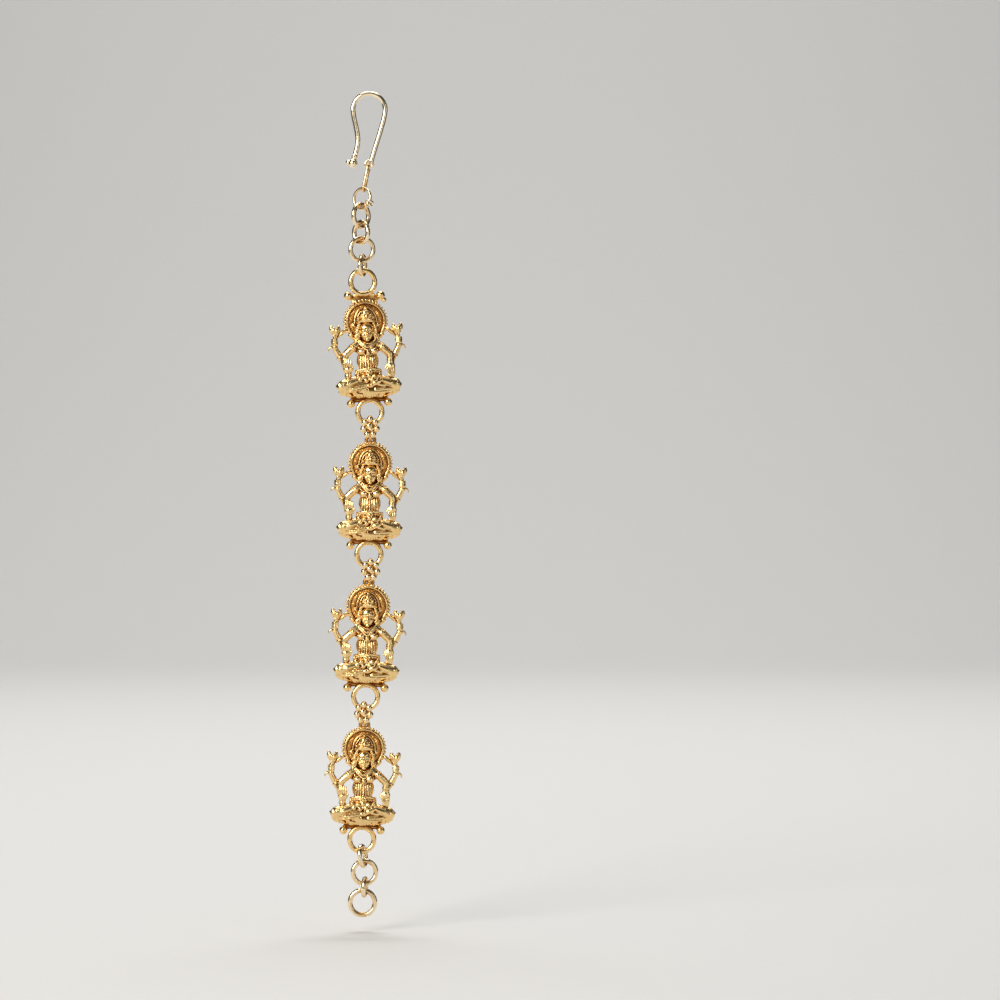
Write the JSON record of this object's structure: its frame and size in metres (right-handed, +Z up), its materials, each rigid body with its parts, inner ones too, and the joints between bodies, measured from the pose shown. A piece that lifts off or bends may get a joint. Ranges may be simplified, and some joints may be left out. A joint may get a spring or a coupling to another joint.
{
  "type": "ear chain",
  "caption": "Gold temple ear chain: a wire hair hook, jump rings and a row of cast seated goddess figures joined by small flower links, ending in a ring that takes an earring.",
  "frame": {"origin": "the hang point, inside the top of the wire hook's crook", "axes": "+Z up along the hanging chain, the figures face -Y, +X to the right of a viewer who faces the figures"},
  "size_m": [0.0123, 0.0039, 0.1198],
  "materials": {
    "gold": "cast, with dark antique finish in the recesses",
    "wire": "drawn and lightly polished"
  },
  "bodies": {
    "root": {"ear_hook": "wire", "hook_link": "wire", "swivel_ring": "wire", "upper_ring_1": "wire", "upper_ring_2": "wire", "upper_ring_3": "wire", "upper_ring_4": "wire", "motif_1": "gold", "flower_link_1": "wire", "motif_2": "gold", "flower_link_2": "wire", "motif_3": "gold", "flower_link_3": "wire", "motif_4": "gold", "lower_ring_1": "wire", "lower_ring_2": "wire", "lower_ring_3": "wire", "end_ring": "wire"}
  },
  "joints": []
}
